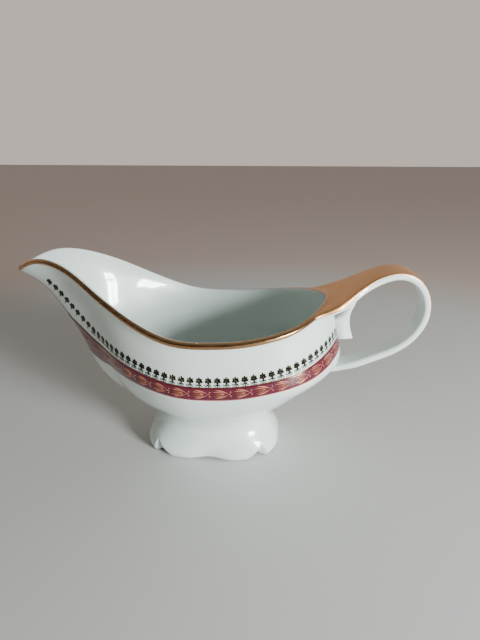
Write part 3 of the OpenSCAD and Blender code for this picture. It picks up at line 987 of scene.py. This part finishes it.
        # The middle of the outer face looks up where the strap leaves the rim
        if n[len(grid) // 4, self.face_points // 2, 2] < 0:
            n = -n
        over = self.gold_over
        count = len(self.section)
        picked = np.r_[count - over:count, 0:self.face_points + over]
        at_u = np.concatenate([np.full(root_rows, us[0]), us[1:]])
        rows = np.nonzero(at_u <= self.gold_end_u)[0]
        taper = np.sqrt(np.clip((self.gold_end_u + 0.02 - at_u[rows]) / self.gold_taper_u, 0, 1))
        # The gold wraps the strap's side faces at the root and then draws back to its upper corners
        taper *= 1 - self.gold_draw * ease((at_u[rows] - self.root_u) / self.gold_draw_u)
        strip, lean = grid[rows][:, picked], n[rows][:, picked]
        share = np.linspace(-1, 1, len(picked))
        top, low = [], []
        for points, normals, narrow in zip(strip, lean, taper):
            at = share * (self.gold_tip + (1 - self.gold_tip) * narrow)
            p = np.stack([np.interp(at, share, points[:, k]) for k in range(3)], axis=-1)
            m = np.stack([np.interp(at, share, normals[:, k]) for k in range(3)], axis=-1)
            top.append(p + m * self.film)
            low.append((p - m * self.film)[::-1])
        film = np.concatenate([np.array(top), np.array(low)], axis=1)
        points, faces = capped(film, film.shape[1] - 1)
        piece = add_piece("handle_gold", points, faces, self.centre_x, [finishes.strap_gold])
        settle(piece, Slot.GOLD, "handle_gilding")


# Edges of the spur as X and Z. The upper points are measured from the strap's middle line, and the lower
# ones from the foot's axis: down the gap at the back, and down to the point at the front
SPUR_BACK_UPPER = [(-0.6, 0.4), (-0.2, -2.2), (-0.6, -5.6)]
SPUR_BACK_LOWER = [(78.6, 90.5), (76.9, 86.8)]
SPUR_FRONT_UPPER = [(4.0, 1.0), (1.0, -2.8), (-2.2, -6.2)]
SPUR_FRONT_LOWER = [(84.2, 94.2), (82.2, 90.4), (81.3, 86.2), (81.5, 81.0), (82.6, 76.4), (84.0, 72.5)]
# Rings that round off the point: width, and how far each sinks, in millimetres
SPUR_TIP = [(0.93, 0.32), (0.78, 0.6), (0.5, 0.78)]


@dataclass
class Spur:
    """The pointed brace between the strap's underside and the back of the bowl."""

    form: BowlForm
    handle: Handle
    centre_x: float
    back_u: float = 0.9
    front_u: float = 2.4
    low_t: float = 0.645
    low_sunk: float = 1.2
    high_t: float = 0.755
    high_sunk: float = 1.0
    half_w: float = 3.2
    squareness: float = 2.5
    flare: float = 1.1
    taper: float = 0.28
    keel: float = 0.62
    rows: int = 56
    columns: int = 48

    def build(self, finishes: Finishes) -> None:
        """Lofts rounded sections between the spur's back edge, at the bowl, and its front edge."""
        form, line = self.form, self.handle.line
        low = form.outside(0.0, self.low_t, -self.low_sunk)
        high = form.outside(0.0, self.high_t, -self.high_sunk)
        behind = [(high[0], high[2] + 1.6), (high[0] - 0.2, high[2]), (low[0], low[2] + 3), (low[0], low[2])]
        back = np.concatenate([spline(line, np.array(self.back_u))[:2] + SPUR_BACK_UPPER, SPUR_BACK_LOWER,
                               behind])
        front = np.concatenate([spline(line, np.array(self.front_u))[:2] + SPUR_FRONT_UPPER,
                                SPUR_FRONT_LOWER])
        places = np.linspace(0, len(back) - 1, self.rows)
        b, f = spline(back, places), spline(front, places)
        middle, half = (b + f) / 2, (f - b) / 2
        share = np.linspace(0, 1, self.rows)
        # It flares into the strap over its first fifth, and narrows over its lower half
        wide = (self.half_w * (1 + self.flare * np.clip(1 - share / 0.2, 0, 1) ** 2)
                * (1 - self.taper * ease((share - 0.5) / 0.5)))
        turn = np.linspace(0, 2 * math.pi, self.columns, endpoint=False)
        cos, sin = np.cos(turn), np.sin(turn)
        x = np.sign(cos) * abs(cos) ** (2 / self.squareness)
        y = np.sign(sin) * abs(sin) ** (2 / self.squareness)
        rings = []
        for m, h, w, s in zip(middle, half, wide, share):
            # Towards the point the section narrows to a keel at its front
            slim = 1 - self.keel * ease((s - 0.55) / 0.45) * ease((x + 0.2) / 1.2)
            rings.append(np.stack([m[0] + h[0] * x, w * y * slim, m[1] + h[1] * x], axis=-1))
        for shrink, sink in SPUR_TIP:
            ring = rings[self.rows - 1].copy()
            centre = ring.mean(0)
            ring[:, 0] = centre[0] + (ring[:, 0] - centre[0]) * (1 - (1 - shrink) * 0.35)
            ring[:, 1] *= shrink
            ring[:, 2] -= sink
            rings.append(ring)
        points, faces = capped(np.array(rings))
        piece = add_piece("spur_brace", points, faces, self.centre_x, [finishes.porcelain])
        settle(piece, Slot.PORCELAIN, "handle_spur")


# ---- gilding and print ----

@dataclass
class Decoration:
    """The fired films: gold over the rim, the enamel band with its garland and lines, and the palmettes."""

    form: BowlForm
    centre_x: float
    film: float = 0.05
    sunk: float = 0.04
    columns: int = 480
    gold_line: float = 1.3
    gold_end: float = 116.0
    gold_inner: float = 56.0
    gold_inner_fade: float = 50.0
    gold_fade: float = 22.0
    gold_rows: int = 26
    root_angle: float = 29.0
    band_line: float = 0.45
    spout_line: float = 0.7
    stroke_step: float = 0.003
    palmettes_a_side: int = 45
    leaves_a_side: int = 17
    border_angle: float = 156.0

    def shell(self, name: str, rows: list, material: bpy.types.Material) -> bpy.types.Object:
        """A thin closed film round the boat.

        Args:
            name: the piece's name.
            rows: functions of the distance off the surface that give one ring each, in order.
            material: the film's finish.

        Returns:
            The new piece.
        """
        grid = np.array([row(self.film) for row in rows] + [row(-self.sunk) for row in rows[::-1]])
        faces = skin_faces(len(grid), grid.shape[1], True)
        return add_piece(name, grid, faces, self.centre_x, [material])

    def build_rim_gold(self, finishes: Finishes) -> None:
        """Gold from the rim's outer side over its crest; at the handle it runs to the inner side."""
        a = np.arange(self.columns) * 360 / self.columns
        from_back = abs((a + 180) % 360 - 180)
        clear = ease((from_back - self.root_angle) / self.gold_fade)
        # A place above 0 is in degrees over the crest. Below 0 it is in sixtieths of the line's width
        steps = 60
        under_strap = steps - 72 * ease((from_back - self.root_angle + 9) / 8)
        start = -steps * clear + under_strap * (1 - clear)
        end = self.gold_end + self.gold_inner * (1 - ease(from_back / self.gold_inner_fade))
        rows = []
        for share in np.linspace(0, 1, self.gold_rows):
            place = start + (end - start) * share
            place = np.where(place < 0, place / steps * self.gold_line, place)
            rows.append(lambda off, place=place: self.form.over_rim(a, place, off))
        settle(self.shell("rim_gold_line", rows, finishes.rim_gold), Slot.GOLD, "rim_gilding")

    def band_rows(self, a: Array, low: Array, high: Array, count: int) -> list:
        """Functions of the distance off the wall, one for each row of a film between two places."""
        rows = []
        for share in np.linspace(0, 1, count):
            t = low + (high - low) * share
            rows.append(lambda off, t=t: self.form.outside(a, t, off))
        return rows

    def build_band(self, finishes: Finishes) -> None:
        """The enamel band and the thin line along each of its edges."""
        form = self.form
        a = np.arange(self.columns) * 360 / self.columns
        top, low = form.band_edges(a)
        line_top = form.share_of(a, top, self.band_line)
        line_low = form.share_of(a, low, self.band_line)
        band = self.shell("enamel_band", self.band_rows(a, low, top, 9), finishes.enamel)
        settle(band, Slot.ENAMEL, "burgundy_band")
        upper = self.shell("band_upper_line", self.band_rows(a, top, top + line_top, 2), finishes.rim_gold)
        settle(upper, Slot.PRINT, "band_edge_lines")
        lower = self.shell("band_lower_line", self.band_rows(a, low - line_low, low, 2), finishes.coral)
        settle(lower, Slot.PRINT)

    def build_spout_line(self, finishes: Finishes) -> None:
        """The thin gold line up each side of the keel, from the band to the tip of the spout."""
        form = self.form
        at = np.linspace(0, len(SPOUT_LINE) - 1.05, 80)
        here, ahead = spline(SPOUT_LINE, at), spline(SPOUT_LINE, at + 0.05)
        normal = form.normal(here[:, 0], here[:, 1])
        centre = form.wall_at(here[:, 0], here[:, 1])
        over = unit(np.cross(normal, form.wall_at(ahead[:, 0], ahead[:, 1]) - centre)) * self.spout_line / 2
        corners = ((1, self.film), (-1, self.film), (-1, -self.sunk), (1, -self.sunk))
        grid = np.stack([centre + over * side + normal * off for side, off in corners], axis=1)
        points, faces = capped(grid, len(corners) - 1)
        mirrored = points * np.array([1, -1, 1])
        faces = faces + [[k + len(points) for k in f[::-1]] for f in faces]
        # Its finish is the printed gold, whose near-black base colour is a painted dark reflection.
        piece = add_piece("spout_keel_line", np.concatenate([points, mirrored]), faces, self.centre_x,
                          [finishes.print_gold])
        settle(piece, Slot.GOLD)

    def places(self, line: Array, count: int) -> tuple:
        """Evenly spaced places along a line on the wall.

        Args:
            line: control points, as angle and t.
            count: how many places.

        Returns:
            Angle and t of each place, and those a little further along.
        """
        samples = 600
        at = np.linspace(0, len(line) - 1, samples)
        spots = spline(line, at)
        steps = np.linalg.norm(np.diff(self.form.wall_at(spots[:, 0], spots[:, 1]), axis=0), axis=-1)
        lengths = np.concatenate([[0], np.cumsum(steps)])
        wanted = (np.arange(count) + 0.5) / count * lengths[-1]
        here = np.interp(wanted, lengths, at)
        ahead = np.interp(wanted + 0.5, lengths, at)
        return spline(line, here), spline(line, ahead)

    def lay(self, here: Array, ahead: Array, outlines: list, off: float, tall: Array = 1.0) -> tuple:
        """Lays flat outlines on the wall at each place, on both sides of the boat.

        Args:
            here: angle and t of each place.
            ahead: angle and t a little further along.
            outlines: closed outlines, in millimetres along the line and up from it.
            off: height of the film's face off the wall.
            tall: how much each place's outlines are stretched upwards.

        Returns:
            The points and the faces of all the little slabs.
        """
        form = self.form
        centre = form.wall_at(here[:, 0], here[:, 1])
        along = unit(form.wall_at(ahead[:, 0], ahead[:, 1]) - centre)
        over = np.cross(form.normal(here[:, 0], here[:, 1]), along)
        over = over * np.broadcast_to(tall, len(here))[:, None]
        points, faces, start = [], [], 0
        for layer, outline in enumerate(outlines):
            flat = np.asarray(outline, float)
            shift = along[:, None] * flat[None, :, :1] + over[:, None] * flat[None, :, 1:]
            spots = form.moved(np.broadcast_to(here[:, None], shift.shape[:2] + (2,)), shift)
            # Strokes that cross lie a little over each other
            high = form.outside(spots[..., 0], spots[..., 1], off + self.stroke_step * layer)
            low = form.outside(spots[..., 0], spots[..., 1], -self.sunk)
            size = len(flat)
            for side in (1, -1):
                for upper, under in zip(high, low):
                    slab = np.concatenate([upper, under]) * np.array([1, side, 1])
                    points.append(slab)
                    top = list(range(start, start + size))
                    bottom = [k + size for k in top]
                    walls = [[top[k], bottom[k], bottom[(k + 1) % size], top[(k + 1) % size]]
                             for k in range(size)]
                    faces += [f[::side] for f in (top, bottom[::-1], *walls)]
                    start += 2 * size
        return np.concatenate(points), faces

    def build_palmettes(self, finishes: Finishes) -> None:
        """The row of palmettes over the band, with the lace of leaves and dots under it."""
        here, ahead = self.places(np.array(PALMETTE_LINE), self.palmettes_a_side)
        # The strip was pulled taller where it turns up the flank of the spout
        tall = 1.25 + 0.3 * ease((here[:, 0] - 142) / 16)
        points, faces = self.lay(here, ahead, palmette(), self.film, tall)
        laced = here[:, 0] < self.border_angle
        more, more_faces = self.lay(here[laced], ahead[laced], lace(), self.film)
        faces = faces + [[k + len(points) for k in f] for f in more_faces]
        # Its finish is the printed gold, whose near-black base colour is a painted dark reflection.
        piece = add_piece("palmette_row", np.concatenate([points, more]), faces, self.centre_x,
                          [finishes.print_gold])
        settle(piece, Slot.GOLD, "palmette_border")

    def build_garland(self, finishes: Finishes) -> None:
        """The leaves along the band, with two dots by the tip of each."""
        a = np.arange(6, 180, 12.0)
        top, low = self.form.band_edges(a)
        here, ahead = self.places(np.stack([a, (top + low) / 2], axis=-1), self.leaves_a_side)
        points, faces = self.lay(here, ahead, barbs(), self.film + 0.04)
        ribs, rib_faces = self.lay(here, ahead, midrib(), self.film + 0.1)
        dark = [0] * len(faces) + [1] * len(rib_faces)
        faces += [[k + len(points) for k in f] for f in rib_faces]
        piece = add_piece("leaf_garland", np.concatenate([points, ribs]), faces, self.centre_x,
                          [finishes.salmon, finishes.rib], dark)
        settle(piece, Slot.PRINT, "band_garland")


def petal(start: tuple, end: tuple, width: float, bend: float = 0.0, full: float = 0.42,
          points: int = 5) -> list:
    """Outline of a petal.

    Args:
        start: its root.
        end: its tip.
        width: its full width.
        bend: how far its middle bows to the left of the way, in millimetres.
        full: where along it the petal is widest, from 0 to 1.
        points: how many points on each side.

    Returns:
        The outline, anticlockwise.
    """
    p, q = np.array(start, float), np.array(end, float)
    way = q - p
    left = np.array([-way[1], way[0]]) / np.linalg.norm(way)
    shares = np.linspace(0, 1, points + 2)
    spine = [p + way * s + left * bend * 4 * s * (1 - s) for s in shares]
    power = math.log(0.5) / math.log(full)
    half = [width / 2 * math.sin(math.pi * s ** power) for s in shares]
    right_side = [c - left * h for c, h in zip(spine, half)]
    left_side = [c + left * h for c, h in zip(spine, half)]
    return right_side + left_side[-2:0:-1]


def dot(x: float, y: float, r: float, points: int = 8) -> list:
    """Outline of a round dot."""
    turns = [2 * math.pi * k / points for k in range(points)]
    return [(x + r * math.cos(k), y + r * math.sin(k)) for k in turns]


def palmette() -> list:
    """Outlines of one palmette: five full petals in a fan on a short stem, in millimetres about its place."""
    root = np.array([0.0, -1.3])
    outlines = []
    for turn, length, width in ((0, 3.2, 1.3), (30, 2.9, 1.2), (60, 2.3, 1.05)):
        for side in ((1, -1) if turn else (1,)):
            lean = math.radians(turn) * side
            way = np.array([math.sin(lean), math.cos(lean)])
            outlines.append(petal(root + way * 0.2, root + way * length, width, 0.0, 0.68, 6))
    outlines.append(dot(0, -0.9, 0.72))
    outlines.append(petal((0, -1.0), (0, -2.8), 0.85))
    return outlines


def lace() -> list:
    """Outlines of the lace under one palmette: two pairs of small leaves, and dots round them."""
    outlines = []
    for side in (1, -1):
        outlines.append(petal((0.1 * side, -2.6), (1.3 * side, -2.0), 0.6, 0.0, 0.6))
        outlines.append(petal((0.1 * side, -2.75), (1.9 * side, -3.6), 0.6, 0.3 * side, 0.5))
        outlines.append(dot(0.95 * side, -3.9, 0.34))
    outlines += [dot(1.9, -2.45, 0.42), dot(0, -3.55, 0.42), dot(1.9, -3.95, 0.3)]
    return outlines


def barbs() -> list:
    """Outlines of one garland leaf, a spearhead of swept barbs that points to the handle, and two dots."""
    outlines = []
    pair = (((-4.6, 0.1), (3.0, 2.45), 0.85, 0.5), ((-2.4, 0.5), (4.3, 1.45), 0.6, 0.25))
    for side in (1, -1):
        for tip, end, width, bend in pair:
            mirror = np.array([1, side])
            outlines.append(petal(tip * mirror, end * mirror, width, bend * side, 0.6, 8))
        outlines.append(dot(-5.5, 1.2 * side, 0.42))
    outlines.append(petal((-3.9, 0), (-5.6, 0), 0.5))
    return outlines


def midrib() -> list:
    """Outline of the darker oval in the middle of a garland leaf."""
    return [petal((-2.6, 0), (3.6, 0), 1.0, 0.0, 0.5, 8)]


# ---- studio ----

@dataclass
class Studio:
    """A plain pale floor, soft light with a paned window to one side, and the camera."""

    centre_x: float
    floor_size: float = 6.0
    floor_near: str = "#C9C8C6"
    floor_far: str = "#C9B4A9"
    floor_roughness: float = 0.55
    near_r: float = 0.30
    far_r: float = 0.52
    window_at: tuple = (0.68, -0.58, 0.24)
    window_faces: tuple = (0.0, 0.0, 0.06)
    pane: tuple = (0.1, 0.13)
    bar: float = 0.022
    pane_power: float = 5.2
    pane_tint: str = "#F4FBFA"
    room_low: str = "#D2C6BD"
    room_high: str = "#A0A7A3"
    room_heights: tuple = (0.35, 0.95)
    room_depths: tuple = (-0.6, 0.6)
    room_strengths: tuple = (0.15, 1.0)
    lens: float = 27.06
    camera_at: tuple = (0.0388, -0.2687, 0.185)
    camera_tilt: float = 69.0
    camera_turn: float = 4.7

    def build_floor(self) -> None:
        """A large floor, pale grey under the boat and warmer far from it."""
        mesh = bpy.data.meshes.new("floor")
        h = self.floor_size / 2
        mesh.from_pydata([(-h, -h, 0), (h, -h, 0), (h, h, 0), (-h, h, 0)], [], [(0, 1, 2, 3)])
        floor = bpy.data.objects.new("floor", mesh)
        bpy.context.scene.collection.objects.link(floor)
        material, tree, where = new_material("pale_floor")
        length = add_node(tree, "ShaderNodeVectorMath", {0: where}, operation="LENGTH")
        far = add_node(tree, "ShaderNodeMapRange", {"Value": length.outputs["Value"], "From Min": self.near_r,
                                                    "From Max": self.far_r}, interpolation_type="SMOOTHSTEP")
        tint = add_node(tree, "ShaderNodeMix", {0: far.outputs[0], 6: linear(self.floor_near),
                                                7: linear(self.floor_far)}, data_type="RGBA")
        shader = add_node(tree, "ShaderNodeBsdfPrincipled", {"Base Color": tint.outputs[2],
                                                             "Roughness": self.floor_roughness})
        add_node(tree, "ShaderNodeOutputMaterial", {"Surface": shader.outputs[0]})
        mesh.materials.append(material)

    def add_light(self, name: str, place: tuple, target: tuple, size: tuple, power: float, tint: str) -> None:
        """Adds a rectangular light.

        Args:
            name: its name.
            place: where it is, in metres.
            target: what it faces.
            size: width and height, in metres.
            power: in watts.
            tint: its colour.
        """
        data = bpy.data.lights.new(name, "AREA")
        data.shape, data.size, data.size_y = "RECTANGLE", size[0], size[1]
        data.energy, data.color = power, linear(tint)[:3]
        light = bpy.data.objects.new(name, data)
        way = np.array(target, float) - np.array(place, float)
        light.location = place
        light.rotation_euler = Vector(way).to_track_quat("-Z", "Y").to_euler()
        bpy.context.scene.collection.objects.link(light)

    def build_window(self) -> None:
        """Four panes of a window to the right, a little in front of and above the boat."""
        centre = np.array(self.window_at)
        target = np.array(self.window_faces)
        way = (target - centre) / np.linalg.norm(target - centre)
        side = np.cross(way, (0, 0, 1))
        side /= np.linalg.norm(side)
        up = np.cross(side, way)
        for i in (-0.5, 0.5):
            for j in (-0.5, 0.5):
                place = centre + side * i * (self.pane[0] + self.bar) + up * j * (self.pane[1] + self.bar)
                self.add_light(f"pane_{i}_{j}", tuple(place), tuple(place + way), self.pane, self.pane_power,
                               self.pane_tint)

    def build_world(self) -> None:
        """Soft light from all round, brighter behind the boat and dimmer overhead and in front."""
        world = bpy.data.worlds.new("room")
        bpy.context.scene.world = world
        world.use_nodes = True
        tree = world.node_tree
        tree.nodes.clear()
        where = add_node(tree, "ShaderNodeTexCoord").outputs["Generated"]
        parts = add_node(tree, "ShaderNodeSeparateXYZ", {"Vector": where})
        height = add_node(tree, "ShaderNodeMapRange", {
            "Value": parts.outputs["Z"], "From Min": self.room_heights[0], "From Max": self.room_heights[1]})
        tint = add_node(tree, "ShaderNodeMix", {0: height.outputs[0], 6: linear(self.room_low),
                                                7: linear(self.room_high)}, data_type="RGBA")
        room = add_node(tree, "ShaderNodeMapRange", {
            "Value": parts.outputs["Y"], "From Min": self.room_depths[0], "From Max": self.room_depths[1],
            "To Min": self.room_strengths[0], "To Max": self.room_strengths[1]},
                        interpolation_type="SMOOTHSTEP")
        back = add_node(tree, "ShaderNodeBackground", {"Color": tint.outputs[2], "Strength": room.outputs[0]})
        add_node(tree, "ShaderNodeOutputWorld", {"Surface": back.outputs[0]})

    def build_camera(self) -> None:
        """The camera, a little above the rim and in front of the boat."""
        data = bpy.data.cameras.new("camera")
        data.sensor_width, data.sensor_fit, data.lens = 36.0, "AUTO", self.lens
        data.clip_start, data.clip_end = 0.01, 50.0
        camera = bpy.data.objects.new("camera", data)
        x, y, z = self.camera_at
        camera.location = (self.centre_x + x, y, z)
        camera.rotation_euler = (math.radians(self.camera_tilt), 0, math.radians(self.camera_turn))
        bpy.context.scene.collection.objects.link(camera)
        bpy.context.scene.camera = camera

    def build(self) -> None:
        """Sets the whole studio."""
        self.build_floor()
        self.build_window()
        self.build_world()
        self.build_camera()


def main() -> None:
    """Builds the boat around the CAD model's frame, piece by piece."""
    low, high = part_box("foot")
    centre_x = (low.x + high.x) / 2
    form = BowlForm(foot_h=high.z / MM)
    Studio(centre_x).build()
    finishes = Finishes.build()
    Bowl(form, centre_x).build(finishes)
    Foot(form, centre_x).build(finishes)
    handle = Handle(form, centre_x)
    handle.build(finishes)
    Spur(form, handle, centre_x).build(finishes)
    decoration = Decoration(form, centre_x)
    decoration.build_rim_gold(finishes)
    decoration.build_band(finishes)
    decoration.build_garland(finishes)
    decoration.build_spout_line(finishes)
    decoration.build_palmettes(finishes)


if __name__ == "__main__":
    main()
